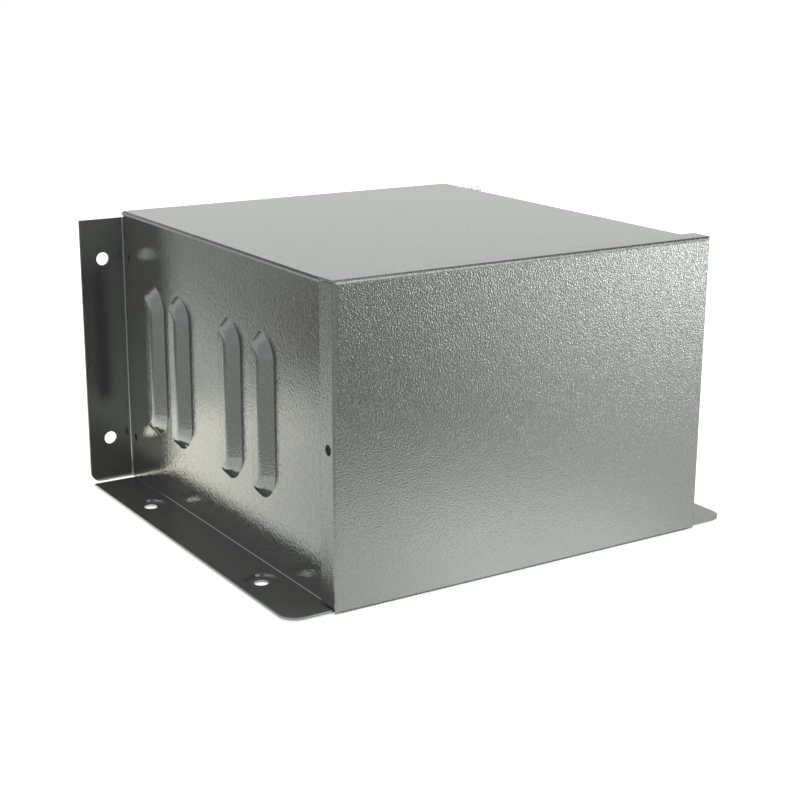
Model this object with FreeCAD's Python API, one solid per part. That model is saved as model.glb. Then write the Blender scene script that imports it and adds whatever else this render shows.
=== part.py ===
import FreeCAD, Part
import math
import os
from FreeCAD import Vector

# Ventilated sheet steel enclosure, 1.2 mm painted steel, all lengths in mm.
# Three folded pieces: a flanged body shell (top and two sides), a tray-like front
# cover that laps over the shell's front end, and an inner chassis (rear wall and
# base) that slides inside the shell.
# Frame: X across the front, Y to the rear, Z up. The origin is on the surface that
# the case stands on, under the middle of its bounding box; the front faces -Y.

# ---- sheet and clearances ----
sheet = 1.2                    # thickness of every piece
bend_inner = 0.8               # inside radius of every fold
bend_outer = bend_inner + sheet
lap_gap = 0.2                  # between two sheets that lap
cover_stop_gap = 1.0           # shell's front edge to the inside of the cover
eps = 0.01                     # cutting tools run this much past a free face

# ---- overall size ----
body_width = 211.0             # across the outer faces of the shell's sides
total_height = 152.0           # bench to the cover's top lip
total_depth = 228.0            # cover's front face to the rear flanges' rear face
flange_reach = 24.5            # flange edge to the side's outer face
flange_stand = 1.1             # bench to the underside of the base flanges
base_stand = 1.6               # bench to the underside of the chassis's base

# ---- body shell ----
rear_flange_drop = 3.1         # top face to the rear flanges' top edge
rear_flange_low = 1.8          # bench to the rear flanges' lower edge
fold_relief = 1.2              # slit above the rear flanges' fold
corner_cut = 5.0               # base flanges' rear end to the plane of the rear flanges
rear_flange_corner = 6.0       # radius of the rear flanges' lower outer corner
base_flange_corner = 9.0       # radius of the base flanges' front outer corner
fixing_hole = 7.0              # clearance for M6
rear_hole_pitch = 100.0        # up the rear flanges
base_hole_pitch = 125.0        # along the base flanges
base_hole_front = 47.9         # first hole to the shell's front edge
dimple_radius = 8.3            # where the dimple starts to sink
dimple_wall = math.radians(75) # slope of its wall

# ---- louvres, two pairs on each side ----
louvre_length = 81.0           # tip to tip
louvre_reach = 13.4            # lanced edge to the foot of the flank
louvre_rise = 4.9              # crest above the side's face
louvre_slope = math.radians(42)
louvre_crest_bend = 5.0        # inside radius at the crest
louvre_foot_bend = 0.0         # inside radius at the foot, a sharp inner corner
louvre_lances = [71.0, 104.8, 161.0, 190.8]  # lanced edges, from the cover's face

# ---- front cover ----
cover_lip = 12.5               # depth of its four lips from the front face
cover_floor_gap = 0.2          # bench to the bottom lip
cover_hole = 5.0
cover_hole_back = 5.6          # hole to the front face
lip_flange_gap = 0.7           # side lip's lower end to the base flange
lip_corner_gap = 0.4           # slit between a side lip and the top lip
pilot_hole = 3.0               # for a 4 mm self-tapping screw

# ---- inner chassis ----
chassis_lip = 14.0             # depth of the rear wall's lips
base_lip = 10.0                # height of the base's lips
rear_inset = 0.5               # rear wall behind the plane of the rear flanges
chassis_hole = 4.2             # clearance hole in the shell's side
chassis_hole_front = 7.4       # hole to the plane of the rear flanges
chassis_corner_gap = 1.0       # slit between two lips at a corner

# ---- planes worked out from the sizes ----
front_y = -total_depth / 2
rear_y = total_depth / 2
side_x = body_width / 2
cover_half = side_x + lap_gap + sheet
body_top = total_height - sheet - lap_gap
flange_top = flange_stand + sheet
flange_x = side_x + flange_reach
hole_x = side_x + flange_reach / 2
shell_front = front_y + sheet + cover_stop_gap
mid_z = total_height / 2
rear_flange_high = body_top - rear_flange_drop
rear_hole_heights = [mid_z - rear_hole_pitch / 2, mid_z + rear_hole_pitch / 2]
dimple_foot = dimple_radius + sheet * math.tan(dimple_wall / 2)
flange_end_y = rear_y - corner_cut
first_hole_y = shell_front + base_hole_front
base_hole_places = [first_hole_y, first_hole_y + base_hole_pitch]
chassis_half = side_x - sheet - lap_gap
chassis_rear = rear_y - rear_inset
chassis_top = body_top - sheet - lap_gap
across = Vector(1, 0, 0)
rearward = Vector(0, 1, 0)
upward = Vector(0, 0, 1)


def fold(before, corner, after, radius, hand):
    """Start, middle and end of one face's arc where the sheet folds at corner."""
    ahead_in = (corner - before).normalize()
    ahead_out = (after - corner).normalize()
    turn = math.atan2(ahead_in.cross(ahead_out).z, ahead_in.dot(ahead_out))
    way = math.copysign(1, turn)
    middle_radius = radius + sheet / 2
    normal = Vector(-ahead_in.y, ahead_in.x, 0)
    centre = (corner - ahead_in * middle_radius * math.tan(abs(turn) / 2)
              + normal * middle_radius * way)
    reach = middle_radius - sheet / 2 * hand * way
    heading = math.atan2(ahead_in.y, ahead_in.x)
    arc = []
    for share in (0, 0.5, 1):
        angle = heading + turn * share
        arc.append(centre + Vector(math.sin(angle), -math.cos(angle), 0) * reach * way)
    return arc


def face_line(path, radii, hand):
    """Straight and curved runs of one face of the sheet, as lists of points."""
    points = [Vector(u, v, 0) for u, v in path]
    first = (points[1] - points[0]).normalize()
    last = (points[-1] - points[-2]).normalize()
    half = sheet / 2 * hand
    at = points[0] + Vector(-first.y, first.x, 0) * half
    runs = []
    for before, corner, after, radius in zip(points, points[1:], points[2:], radii):
        arc = fold(before, corner, after, radius, hand)
        runs.append([at, arc[0]])
        runs.append(arc)
        at = arc[2]
    runs.append([at, points[-1] + Vector(-last.y, last.x, 0) * half])
    return [run for run in runs if run[0].distanceToPoint(run[-1]) > eps / 10]


def folded_section(path, radii, place):
    """Face of a sheet that follows the middle line path, with an inside radius for
    each fold. place turns a point (u, v) of the section into a point in space."""
    near = face_line(path, radii, 1)
    far = face_line(path, radii, -1)
    runs = near + far + [[near[0][0], far[0][0]], [near[-1][-1], far[-1][-1]]]
    edges = []
    for run in runs:
        ends = [place(point.x, point.y) for point in run]
        curve = Part.Arc(*ends) if len(ends) == 3 else Part.LineSegment(*ends)
        edges.append(curve.toShape())
    return Part.Face(Part.Wire(Part.__sortEdges__(edges)))


def box(x0, x1, y0, y1, z0, z1):
    return Part.makeBox(x1 - x0, y1 - y0, z1 - z0, Vector(x0, y0, z0))


def drill(radius, start, axis):
    """Tool that goes through one sheet, from a sheet's thickness before it."""
    return Part.makeCylinder(radius, 3 * sheet, start - axis * sheet, axis)


def mirrored(shape):
    return shape.mirror(Vector(0, 0, 0), Vector(1, 0, 0))


# ---- body shell ----

def hat():
    """Base flange, side, top, side and base flange, folded from one strip."""
    side = side_x - sheet / 2
    foot = flange_stand + sheet / 2
    top = body_top - sheet / 2
    path = [(-flange_x, foot), (-side, foot), (-side, top),
            (side, top), (side, foot), (flange_x, foot)]
    face = folded_section(path, 4 * [bend_inner], lambda u, v: Vector(u, shell_front, v))
    return face.extrude(Vector(0, rear_y - shell_front, 0))


def rear_flange():
    """Left rear flange with its fold, which turns it out of the side."""
    side = -side_x + sheet / 2
    level = rear_y - sheet / 2
    path = [(side, rear_y - bend_outer), (side, level), (-flange_x, level)]
    face = folded_section(path, [bend_inner], lambda u, v: Vector(u, v, rear_flange_low))
    flange = face.extrude(Vector(0, 0, rear_flange_high - rear_flange_low))
    corner = [edge for edge in flange.Edges
              if abs(edge.BoundBox.XMax + flange_x) < eps
              and abs(edge.BoundBox.ZMax - rear_flange_low) < eps]
    return flange.makeFillet(rear_flange_corner, corner)


def rear_rooms():
    """What the strip makes room for: the fold of the left rear flange, and the
    corner between the base flange and the rear flange."""
    corner_top = flange_stand + bend_outer
    inside = -side_x + sheet + eps
    fold_room = box(-side_x - eps, inside, rear_y - bend_outer, rear_y + eps,
                    corner_top, rear_flange_high + fold_relief)
    corner = box(-flange_x - eps, inside, flange_end_y, rear_y + eps, 0, corner_top)
    return [fold_room, corner]


def base_flange_rounding():
    """Waste outside the round front corner of the left base flange."""
    x = -flange_x + base_flange_corner
    y = shell_front + base_flange_corner
    square = box(-flange_x - eps, x, shell_front - eps, y, 0, flange_top + eps)
    return square.cut(drill(base_flange_corner, Vector(x, y, flange_stand), upward))


def louvre_wall(lance_y):
    """Raised wall of one louvre on the left side. Its rear edge is lanced free and
    its other edges run into the side through two folds."""
    half = sheet / 2
    crest = louvre_rise - half
    foot = louvre_reach - (louvre_foot_bend + half) * math.tan(louvre_slope / 2)
    brow = foot - louvre_rise / math.tan(louvre_slope)
    path = [(0, crest), (brow, crest), (foot, -half), (louvre_reach, -half)]
    run = louvre_length - 2 * louvre_reach
    low = mid_z - run / 2
    radii = [louvre_crest_bend, louvre_foot_bend]
    face = folded_section(path, radii, lambda u, v: Vector(-side_x - v, lance_y - u, low))
    straight = face.extrude(Vector(0, 0, run))
    low_end = face.revolve(Vector(-side_x, lance_y, low), across, 90)
    upper = face.translated(Vector(0, 0, run))
    high_end = upper.revolve(Vector(-side_x, lance_y, low + run), across, -90)
    return straight.fuse([low_end, high_end])


def louvre_blank(lance_y):
    """Piece of the flat side that one louvre is formed from."""
    run = louvre_length - 2 * louvre_reach
    low = mid_z - run / 2
    reach = louvre_reach
    middle = box(-side_x - sheet, -side_x + 2 * sheet, lance_y - reach, lance_y, low, low + run)
    discs = [drill(reach, Vector(-side_x, lance_y, z), across) for z in (low, low + run)]
    behind = box(-side_x - 2 * sheet, -side_x + 3 * sheet, lance_y, lance_y + 2 * reach,
                 0, total_height)
    return middle.fuse(discs).cut(behind)


def dimple(y):
    """Round seat pressed down in the left base flange, with its fixing hole."""
    hole = fixing_hole / 2
    toe = dimple_radius - flange_stand / math.tan(dimple_wall)
    miter = dimple_foot - dimple_radius
    profile = [(hole, 0), (toe + miter, 0), (dimple_foot, flange_stand),
               (dimple_foot, flange_top), (dimple_radius, flange_top), (toe, sheet), (hole, sheet)]
    points = [Vector(-hole_x + u, y, v) for u, v in profile]
    face = Part.Face(Part.makePolygon(points + points[:1]))
    return face.revolve(Vector(-hole_x, y, 0), upward, 360)


def shell_holes():
    """Fixing holes of the left rear flange and screw holes of the left side."""
    holes = [drill(pilot_hole / 2, Vector(-side_x, front_y + cover_hole_back, mid_z), across)]
    for z in rear_hole_heights:
        holes.append(drill(fixing_hole / 2, Vector(-hole_x, rear_y - sheet, z), rearward))
        holes.append(drill(chassis_hole / 2, Vector(-side_x, rear_y - chassis_hole_front, z), across))
    return holes


def body_shell():
    waste = rear_rooms() + [base_flange_rounding()]
    added = [rear_flange()]
    for from_front in louvre_lances:
        waste.append(louvre_blank(front_y + from_front))
        added.append(louvre_wall(front_y + from_front))
    for y in base_hole_places:
        waste.append(drill(dimple_foot, Vector(-hole_x, y, flange_stand), upward))
        added.append(dimple(y))
    shell = hat().cut(waste + [mirrored(shape) for shape in waste])
    shell = shell.fuse(added + [mirrored(shape) for shape in added])
    holes = shell_holes()
    return shell.cut(holes + [mirrored(shape) for shape in holes])


# ---- front cover ----

def tray(half_width, low, high, front, back, radius):
    """Block with its front face's four edges rounded."""
    block = box(-half_width, half_width, front, back, low, high)
    edges = [edge for edge in block.Edges if abs(edge.BoundBox.YMax - front) < eps]
    return block.makeFillet(radius, edges)


def front_cover():
    low = cover_floor_gap
    high = total_height
    back = front_y + cover_lip
    outside = tray(cover_half, low, high, front_y, back, bend_outer)
    inside = tray(cover_half - sheet, low + sheet, high - sheet,
                  front_y + sheet, back + bend_outer, bend_inner)
    cover = outside.cut(inside)
    below_lip = flange_top + lip_flange_gap
    notch = box(-cover_half - eps, -chassis_half, front_y + sheet, back + eps, 0, below_lip)
    gap_low = high - sheet - lip_corner_gap
    corner = box(-cover_half - eps, -side_x, front_y + bend_outer, back + eps,
                 gap_low, high - sheet)
    hole = drill(cover_hole / 2, Vector(-cover_half, front_y + cover_hole_back, mid_z), across)
    waste = [notch, corner, hole]
    return cover.cut(waste + [mirrored(shape) for shape in waste])


# ---- inner chassis ----

def lengthwise_strip():
    """Base and rear wall in one strip, with a lip at each end of it."""
    half = sheet / 2
    base = base_stand + half
    wall = chassis_rear - half
    top = chassis_top - half
    reach = chassis_half - bend_outer - chassis_corner_gap
    path = [(shell_front + half, base_stand + base_lip), (shell_front + half, base),
            (wall, base), (wall, top), (chassis_rear - chassis_lip, top)]
    face = folded_section(path, 3 * [bend_inner], lambda u, v: Vector(-reach, u, v))
    return face.extrude(Vector(2 * reach, 0, 0))


def base_with_lips():
    """Base with the two lips that stand against the shell's sides."""
    side = chassis_half - sheet / 2
    level = base_stand + sheet / 2
    lip_end = base_stand + base_lip
    start = shell_front + bend_outer + chassis_corner_gap
    end = chassis_rear - bend_outer - chassis_corner_gap
    path = [(-side, lip_end), (-side, level), (side, level), (side, lip_end)]
    face = folded_section(path, 2 * [bend_inner], lambda u, v: Vector(u, start, v))
    return face.extrude(Vector(0, end - start, 0))


def wall_with_lips():
    """Rear wall with the two lips that the shell's sides are screwed to."""
    side = chassis_half - sheet / 2
    level = chassis_rear - sheet / 2
    lip_end = chassis_rear - chassis_lip
    low = base_stand + base_lip + chassis_corner_gap
    high = chassis_top - bend_outer - chassis_corner_gap
    path = [(-side, lip_end), (-side, level), (side, level), (side, lip_end)]
    face = folded_section(path, 2 * [bend_inner], lambda u, v: Vector(u, v, low))
    return face.extrude(Vector(0, 0, high - low))


def inner_chassis():
    chassis = lengthwise_strip().fuse([base_with_lips(), wall_with_lips()])
    holes = []
    for z in rear_hole_heights:
        place = Vector(-chassis_half, rear_y - chassis_hole_front, z)
        holes.append(drill(pilot_hole / 2, place, across))
    return chassis.cut(holes + [mirrored(shape) for shape in holes])


def export(shape, name):
    solid = shape.removeSplitter()
    if len(solid.Solids) == 1:
        solid = solid.Solids[0]
    print(name, "solids", len(solid.Solids), "valid", solid.isValid(),
          "volume", round(solid.Volume, 1))
    solid.exportStep("parts/" + name + ".step")


os.makedirs("parts", exist_ok=True)
export(body_shell(), "body_shell")
export(front_cover(), "front_cover")
export(inner_chassis(), "inner_chassis")
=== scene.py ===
import math
import bpy
from mathutils import Matrix, Vector

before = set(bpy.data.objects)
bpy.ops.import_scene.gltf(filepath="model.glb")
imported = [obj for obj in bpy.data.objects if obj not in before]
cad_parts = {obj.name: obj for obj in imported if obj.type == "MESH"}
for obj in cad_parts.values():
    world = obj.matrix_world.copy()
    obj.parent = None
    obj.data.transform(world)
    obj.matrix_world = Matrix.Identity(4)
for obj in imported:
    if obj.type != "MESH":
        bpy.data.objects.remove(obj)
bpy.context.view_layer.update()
print("frame loaded", list(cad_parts))


# small tools that the paint, the floor and the world share

def clearedTree(owner):
    owner.use_nodes = True
    owner.node_tree.nodes.clear()
    return owner.node_tree


def addNode(tree, kind, place=(0, 0), **settings):
    node = tree.nodes.new(kind)
    node.location = place
    for name, value in settings.items():
        setattr(node, name, value)
    return node


def newGroup(name, inputs, outputs):
    tree = bpy.data.node_groups.new(name, "ShaderNodeTree")
    for label, kind, value in inputs:
        socket = tree.interface.new_socket(label, in_out="INPUT", socket_type=kind)
        socket.default_value = value
    for label, kind in outputs:
        tree.interface.new_socket(label, in_out="OUTPUT", socket_type=kind)
    given = addNode(tree, "NodeGroupInput", (-900, 0))
    result = addNode(tree, "NodeGroupOutput", (700, 0))
    return tree, given, result


def combine(tree, operation, first, second, place=(0, 0)):
    node = addNode(tree, "ShaderNodeMath", place, operation=operation)
    tree.links.new(first, node.inputs[0])
    tree.links.new(second, node.inputs[1])
    return node.outputs[0]


def blend(tree, share, low, high, place):
    # mixes two colours by a share from 0 to 1
    node = addNode(tree, "ShaderNodeMix", place, data_type="RGBA")
    for value, socket in ((share, node.inputs[0]), (low, node.inputs[6]), (high, node.inputs[7])):
        tree.links.new(value, socket)
    return node.outputs[2]


def spread(tree, value, limits, place):
    # stretches a value from the limits given to 0..1
    node = addNode(tree, "ShaderNodeMapRange", place)
    node.inputs["From Min"].default_value, node.inputs["From Max"].default_value = limits
    tree.links.new(value, node.inputs["Value"])
    return node


def choose(tree, path, ray, others, seen, place):
    # rays of the kind named see one shader, all other rays the other
    node = addNode(tree, "ShaderNodeMixShader", place)
    tree.links.new(path.outputs[ray], node.inputs[0])
    tree.links.new(others.outputs[0], node.inputs[1])
    tree.links.new(seen.outputs[0], node.inputs[2])
    return node


film = {
    "cellDetail": 1.5,
    "swellDetail": 2.0,
    "noiseRoughness": 0.45,
    "thickBand": (0.3, 0.7),      # part of the noise's range that counts, here and below
    "mattBand": (0.3, 0.7),
    "wearAndHighlightBand": (0.35, 0.65),
    "edgeBand": (0.995, 0.85),    # rounded normal times flat normal, from a flat face to an edge
    "edgeSamples": 4,
}


def makeSprayedFilm(values):
    # a sprayed metallic film: fine dimples, slow swell, uneven thickness and
    # edges made lighter in colour, partly as wear and partly as a painted highlight; lengths in
    # metres
    color, number = "NodeSocketColor", "NodeSocketFloat"
    tree, given, result = newGroup(
        "sprayedFilm",
        [("Thin Colour", color, (0.5, 0.5, 0.5, 1)), ("Thick Colour", color, (0.4, 0.4, 0.4, 1)),
         ("Worn And Highlight Colour", color, (0.6, 0.6, 0.6, 1)), ("Wear And Highlight", number, 0.5),
         ("Smooth", number, 0.05), ("Rough", number, 0.1),
         ("Cell Size", number, 0.001), ("Cell Height", number, 0.00005),
         ("Swell Size", number, 0.01), ("Swell Height", number, 0.000004),
         ("Edge Radius", number, 0.0003)],
        [("Colour", color), ("Roughness", number), ("Height", number),
         ("Normal", "NodeSocketVector")])
    place = addNode(tree, "ShaderNodeTexCoord", (-1300, 300))
    noises, heights = {}, []
    for kind, level in (("Cell", 300), ("Swell", 0)):
        scale = addNode(tree, "ShaderNodeMath", (-1100, level), operation="DIVIDE")
        scale.inputs[0].default_value = 1.0
        tree.links.new(given.outputs[kind + " Size"], scale.inputs[1])
        noise = addNode(tree, "ShaderNodeTexNoise", (-900, level))
        noise.inputs["Detail"].default_value = values[kind.lower() + "Detail"]
        noise.inputs["Roughness"].default_value = values["noiseRoughness"]
        tree.links.new(place.outputs["Object"], noise.inputs["Vector"])
        tree.links.new(scale.outputs[0], noise.inputs["Scale"])
        noises[kind] = noise.outputs["Fac"]
        heights.append(combine(tree, "MULTIPLY", noises[kind], given.outputs[kind + " Height"],
                               (-500, level + 200)))
    cells, swell = noises["Cell"], noises["Swell"]
    tree.links.new(combine(tree, "ADD", *heights, (-250, 420)), result.inputs["Height"])
    # an edge is where the rounded normal leaves the flat one
    rounded = addNode(tree, "ShaderNodeBevel", (-900, -350), samples=values["edgeSamples"])
    tree.links.new(given.outputs["Edge Radius"], rounded.inputs["Radius"])
    tree.links.new(rounded.outputs[0], result.inputs["Normal"])
    flat = addNode(tree, "ShaderNodeNewGeometry", (-900, -550))
    same = addNode(tree, "ShaderNodeVectorMath", (-650, -450), operation="DOT_PRODUCT")
    tree.links.new(rounded.outputs[0], same.inputs[0])
    tree.links.new(flat.outputs["Normal"], same.inputs[1])
    edge = spread(tree, same.outputs["Value"], values["edgeBand"], (-450, -450)).outputs[0]
    # painted highlight and wear: edges get a lighter colour where the swell allows
    broken = spread(tree, swell, values["wearAndHighlightBand"], (-450, -250)).outputs[0]
    wornAndHighlit = combine(tree, "MULTIPLY", edge, broken, (-200, -400))   # wear and painted highlight come and go
    share = combine(tree, "MULTIPLY", wornAndHighlit, given.outputs["Wear And Highlight"], (0, -400))
    thick = spread(tree, cells, values["thickBand"], (-450, 150)).outputs[0]
    sprayed = blend(tree, thick, given.outputs["Thin Colour"], given.outputs["Thick Colour"],
                    (-200, 150))
    finished = blend(tree, share, sprayed, given.outputs["Worn And Highlight Colour"], (250, 100))
    tree.links.new(finished, result.inputs["Colour"])
    matt = spread(tree, swell, values["mattBand"], (250, -150))
    tree.links.new(given.outputs["Smooth"], matt.inputs["To Min"])
    tree.links.new(given.outputs["Rough"], matt.inputs["To Max"])
    tree.links.new(matt.outputs[0], result.inputs["Roughness"])
    return tree


paint = {
    "metallic": 0.92,
    "film": {                     # the same on every piece
        "Thin Colour": (0.495, 0.512, 0.490, 1),
        "Thick Colour": (0.430, 0.447, 0.427, 1),
        # lighter edge colour: partly wear, partly a painted highlight
        "Worn And Highlight Colour": (0.60, 0.61, 0.59, 1),
        "Wear And Highlight": 0.7,
        "Smooth": 0.025,
        "Rough": 0.05,
        "Swell Size": 0.012,
        "Swell Height": 0.000004,
        "Edge Radius": 0.0003,
    },
    "coats": {                    # the cover has been sprayed thicker than the rest
        "body_shell": {"Cell Size": 0.001, "Cell Height": 0.0001},
        "front_cover": {"Cell Size": 0.00078, "Cell Height": 0.0002},
        "inner_chassis": {"Cell Size": 0.001, "Cell Height": 0.0001},
    },
}


def makePaint(name, sprayed, values, coat):
    material = bpy.data.materials.new(name)
    tree = clearedTree(material)
    output = addNode(tree, "ShaderNodeOutputMaterial", (700, 0))
    shader = addNode(tree, "ShaderNodeBsdfPrincipled", (400, 0))
    shader.inputs["Metallic"].default_value = values["metallic"]
    tree.links.new(shader.outputs[0], output.inputs[0])
    surface = addNode(tree, "ShaderNodeGroup", (-200, 0), node_tree=sprayed)
    for label, value in {**values["film"], **coat}.items():
        surface.inputs[label].default_value = value
    bump = addNode(tree, "ShaderNodeBump", (150, -250))
    bump.inputs["Distance"].default_value = 1.0     # so that heights are in metres
    tree.links.new(surface.outputs["Height"], bump.inputs["Height"])
    tree.links.new(surface.outputs["Normal"], bump.inputs["Normal"])
    tree.links.new(surface.outputs["Colour"], shader.inputs["Base Color"])
    tree.links.new(surface.outputs["Roughness"], shader.inputs["Roughness"])
    tree.links.new(bump.outputs[0], shader.inputs["Normal"])
    return material


sprayedFilm = makeSprayedFilm(film)
for name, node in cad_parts.items():
    coat = paint["coats"][name]
    node.data.materials.clear()
    node.data.materials.append(makePaint(name + "Paint", sprayedFilm, paint, coat))
print("paint on", len(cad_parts), "pieces")


studio = {
    "floorSize": 12.0,
    "floorColor": (0.86, 0.86, 0.86),
    "floorRoughness": 0.9,
    "floorGlow": 0.55,            # added to the lit floor in view, keeps the shadow faint
    "roomLight": 0.8,             # world strength for diffuse light
    "mirrorInMirror": 0.31,       # strength of table and room in a reflection of a reflection
    "lampAim": (0, 0, 0.05),
}
# the table as reflections show it, painted as glowing light and shade that only reflections see,
# in metres; level 1 is white
tableLightAndShadePainted = {
    "ground": (0.275, 0.285, 0.275),
    "patches": [                  # each lies over the ones before it
        {"at": (-0.504, 0.403), "half": (0.138, 0.24), "soft": (0.006, 0.03),
         "turn": 31.6, "color": (0.15, 0.15, 0.14)},
        {"at": (0.333, 0.160), "half": (0.60, 1.2), "soft": (0.028, 0.1),
         "turn": 8, "color": (0.585, 0.605, 0.585)},
        {"at": (0.092, 0.233), "half": (0.30, 0.15), "soft": (0.045, 0.05),
         "turn": 31.6, "color": (1.20, 1.15, 1.02)},
        # painted shadow on the table in front of the object
        {"at": (0.096, -0.786), "half": (0.27, 0.48), "soft": (0.10, 0.09),
         "turn": 31.6, "color": (0.14, 0.145, 0.14)},
        # painted pool of light to the front right
        {"at": (1.127, -0.868), "half": (0.395, 0.48), "soft": (0.17, 0.20),
         "turn": 31.6, "color": (3.9, 4.0, 3.9)},
        {"at": (0.002, -0.099), "half": (0.065, 0.135), "soft": (0.04, 0.10),
         "turn": 31.6, "color": (0.87, 0.90, 0.89)},
        # painted contact shadow under the object
        {"at": (0, 0), "half": (0.104, 0.1145), "soft": (0.002, 0.002),
         "turn": 0, "color": (0.12, 0.12, 0.12)},
    ],
}
# the room as reflections show it, in degrees round from the rear and up
roomSeen = {
    "ground": (0.48, 0.48, 0.48),
    "patches": [
        {"at": (-6, 36), "half": (26, 14), "soft": (8, 6),
         "turn": 0, "color": (0.10, 0.10, 0.10)},
        {"at": (80, 43), "half": (40, 12), "soft": (6, 5),
         "turn": 0, "color": (0.08, 0.08, 0.08)},
        {"at": (36, 0), "half": (42, 17), "soft": (12, 12),
         "turn": 0, "color": (0.73, 0.74, 0.73)},
        {"at": (136, 36), "half": (18, 16), "soft": (8, 8),
         "turn": 0, "color": (1.10, 1.10, 1.10)},
        {"at": (-95, 28), "half": (27, 40), "soft": (14, 12),
         "turn": 0, "color": (0.30, 0.315, 0.33)},
        {"at": (-147, 11), "half": (16, 9), "soft": (7, 5),
         "turn": 0, "color": (0.02, 0.02, 0.02)},
    ],
}


def squarePlane(name, side):
    mesh = bpy.data.meshes.new(name)
    corners = [(x * side / 2, y * side / 2, 0) for x, y in ((-1, -1), (1, -1), (1, 1), (-1, 1))]
    mesh.from_pydata(corners, [], [(0, 1, 2, 3)])
    square = bpy.data.objects.new(name, mesh)
    bpy.context.scene.collection.objects.link(square)
    return square


def softPatch(tree, place, patch, under):
    # lays one soft-edged rectangle of colour over what lies under it
    turned = addNode(tree, "ShaderNodeMapping", vector_type="TEXTURE")
    turned.inputs["Location"].default_value = (*patch["at"], 0)
    turned.inputs["Rotation"].default_value = (0, 0, math.radians(patch["turn"]))
    tree.links.new(place, turned.inputs["Vector"])
    axes = addNode(tree, "ShaderNodeSeparateXYZ")
    tree.links.new(turned.outputs[0], axes.inputs[0])
    fades = []
    for axis in (0, 1):
        size = addNode(tree, "ShaderNodeMath", operation="ABSOLUTE")
        tree.links.new(axes.outputs[axis], size.inputs[0])
        half, soft = patch["half"][axis], patch["soft"][axis]
        fade = spread(tree, size.outputs[0], (half + soft, half - soft), (0, 0))
        fade.interpolation_type = "SMOOTHSTEP"
        fades.append(fade.outputs[0])
    mix = addNode(tree, "ShaderNodeMix", data_type="RGBA")
    tree.links.new(combine(tree, "MULTIPLY", *fades), mix.inputs[0])
    tree.links.new(under, mix.inputs[6])
    mix.inputs[7].default_value = (*patch["color"], 1)
    return mix.outputs[2]


def patchwork(tree, place, values):
    ground = addNode(tree, "ShaderNodeRGB")
    ground.outputs[0].default_value = (*values["ground"], 1)
    color = ground.outputs[0]
    for patch in values["patches"]:
        color = softPatch(tree, place, patch, color)
    return color


def mirrorFade(tree, path, values):
    # a reflection of a reflection shows the surroundings darker
    again = spread(tree, path.outputs["Glossy Depth"], (1.0, 2.0), (0, 0))
    again.inputs["To Min"].default_value = 1.0
    again.inputs["To Max"].default_value = values["mirrorInMirror"]
    return again.outputs[0]


def makeFloor(values, seen):
    material = bpy.data.materials.new("paleFloor")
    tree = clearedTree(material)
    output = addNode(tree, "ShaderNodeOutputMaterial", (900, 0))
    lit = addNode(tree, "ShaderNodeBsdfPrincipled", (300, 0))
    lit.inputs["Base Color"].default_value = (*values["floorColor"], 1)
    lit.inputs["Roughness"].default_value = values["floorRoughness"]
    lit.inputs["Specular IOR Level"].default_value = 0.0
    lit.inputs["Emission Color"].default_value = (1, 1, 1, 1)
    path = addNode(tree, "ShaderNodeLightPath", (-300, 0))
    glow = addNode(tree, "ShaderNodeMath", (0, -200), operation="MULTIPLY")
    glow.inputs[1].default_value = values["floorGlow"]
    tree.links.new(path.outputs["Is Camera Ray"], glow.inputs[0])
    tree.links.new(glow.outputs[0], lit.inputs["Emission Strength"])
    place = addNode(tree, "ShaderNodeTexCoord", (-900, -400))
    # reflections see the table's painted light and shade glowing here
    mirrored = addNode(tree, "ShaderNodeEmission", (300, -400))
    tree.links.new(patchwork(tree, place.outputs["Object"], seen), mirrored.inputs["Color"])
    tree.links.new(mirrorFade(tree, path, values), mirrored.inputs["Strength"])
    chosen = choose(tree, path, "Is Glossy Ray", lit, mirrored, (600, 0))
    tree.links.new(chosen.outputs[0], output.inputs[0])
    return material


floor = squarePlane("floor", studio["floorSize"])
floor.data.materials.append(makeFloor(studio, tableLightAndShadePainted))


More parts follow.
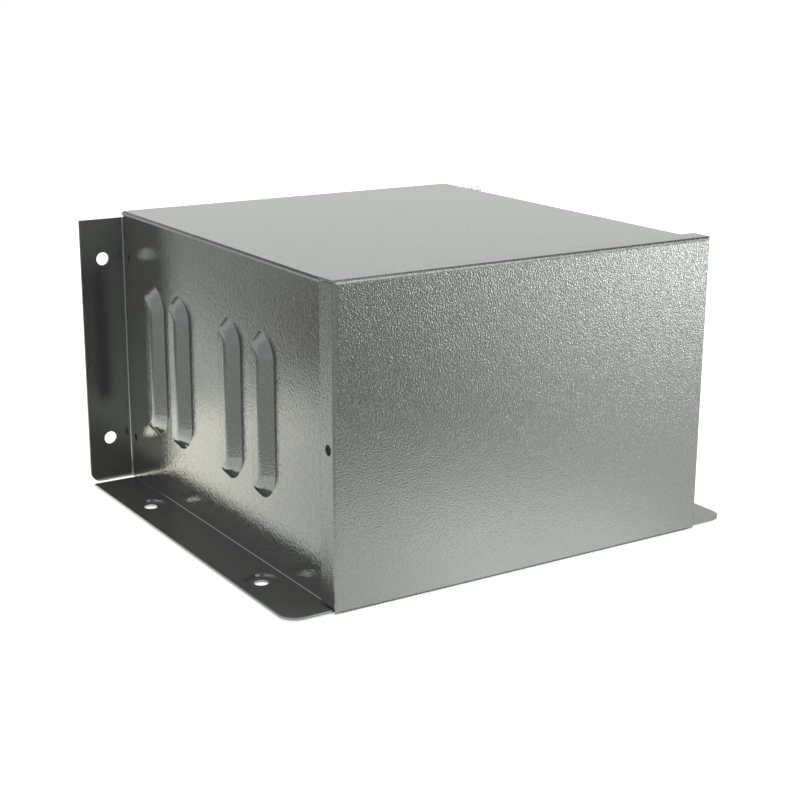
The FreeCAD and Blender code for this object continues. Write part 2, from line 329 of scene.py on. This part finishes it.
def makeWorld(values, seen):
    world = bpy.data.worlds.new("studioRoom")
    bpy.context.scene.world = world
    tree = clearedTree(world)
    output = addNode(tree, "ShaderNodeOutputWorld", (900, 0))
    path = addNode(tree, "ShaderNodeLightPath", (-300, 300))
    place = addNode(tree, "ShaderNodeTexCoord", (-1100, 0))
    axes = addNode(tree, "ShaderNodeSeparateXYZ", (-900, 0))
    tree.links.new(place.outputs["Generated"], axes.inputs[0])
    ways = addNode(tree, "ShaderNodeCombineXYZ", (-300, 0))     # degrees round and up
    for target, kind, sources in ((0, "ARCTAN2", (0, 1)), (1, "ARCSINE", (2,))):
        angle = addNode(tree, "ShaderNodeMath", (-700, -200 * target), operation=kind)
        for socket, axis in enumerate(sources):
            tree.links.new(axes.outputs[axis], angle.inputs[socket])
        degrees = addNode(tree, "ShaderNodeMath", (-500, -200 * target), operation="DEGREES")
        tree.links.new(angle.outputs[0], degrees.inputs[0])
        tree.links.new(degrees.outputs[0], ways.inputs[target])
    lit = addNode(tree, "ShaderNodeBackground", (300, 200))
    lit.inputs["Strength"].default_value = values["roomLight"]
    mirrored = addNode(tree, "ShaderNodeBackground", (300, 0))
    tree.links.new(patchwork(tree, ways.outputs[0], seen), mirrored.inputs["Color"])
    tree.links.new(mirrorFade(tree, path, values), mirrored.inputs["Strength"])
    white = addNode(tree, "ShaderNodeBackground", (300, -200))
    for background in (lit, white):
        background.inputs["Color"].default_value = (1, 1, 1, 1)
    glossy = choose(tree, path, "Is Glossy Ray", lit, mirrored, (500, 100))
    chosen = choose(tree, path, "Is Camera Ray", glossy, white, (700, 0))
    tree.links.new(chosen.outputs[0], output.inputs[0])


makeWorld(studio, roomSeen)

lamps = {
    "frontRightLamp": {"at": (0.9, -1.2, 1.0), "size": 0.9, "watts": 16},
    "topLamp": {"at": (-0.3, 0.1, 1.9), "size": 1.4, "watts": 10},
}
for name, lamp in lamps.items():
    data = bpy.data.lights.new(name, "AREA")
    data.shape = "RECTANGLE"
    data.size = data.size_y = lamp["size"]
    data.energy = lamp["watts"]
    light = bpy.data.objects.new(name, data)
    light.location = lamp["at"]
    beam = Vector(studio["lampAim"]) - Vector(lamp["at"])
    light.rotation_euler = beam.to_track_quat("-Z", "Y").to_euler()
    light.visible_glossy = False
    bpy.context.scene.collection.objects.link(light)
print("studio set")


cameraSet = {                     # angles in degrees, lengths in metres, lens in millimetres
    "azimuth": 32.64,
    "elevation": 15.67,
    "roll": 0.32,
    "distance": 0.77763,
    "aim": (-0.03669, -0.05658, 0.0762),
    "lens": 72.24,
    "sensor": 36,
    "nearClip": 0.05,
}


def makeCamera(values):
    data = bpy.data.cameras.new("camera")
    data.lens = values["lens"]
    data.sensor_width = values["sensor"]
    data.clip_start = values["nearClip"]
    camera = bpy.data.objects.new("camera", data)
    turn, lift, roll = (math.radians(values[key]) for key in ("azimuth", "elevation", "roll"))
    level = math.cos(lift)
    back = Vector((-math.sin(turn) * level, -math.cos(turn) * level, math.sin(lift)))
    right = Vector((0, 0, 1)).cross(back).normalized()
    up = back.cross(right)
    rolledRight = right * math.cos(roll) + up * math.sin(roll)
    rolledUp = up * math.cos(roll) - right * math.sin(roll)
    at = Vector(values["aim"]) + back * values["distance"]
    camera.matrix_world = Matrix((
        (rolledRight.x, rolledUp.x, back.x, at.x),
        (rolledRight.y, rolledUp.y, back.y, at.y),
        (rolledRight.z, rolledUp.z, back.z, at.z),
        (0, 0, 0, 1)))
    bpy.context.scene.collection.objects.link(camera)
    bpy.context.scene.camera = camera


makeCamera(cameraSet)
bpy.context.scene.view_settings.view_transform = "Standard"
print("camera set")
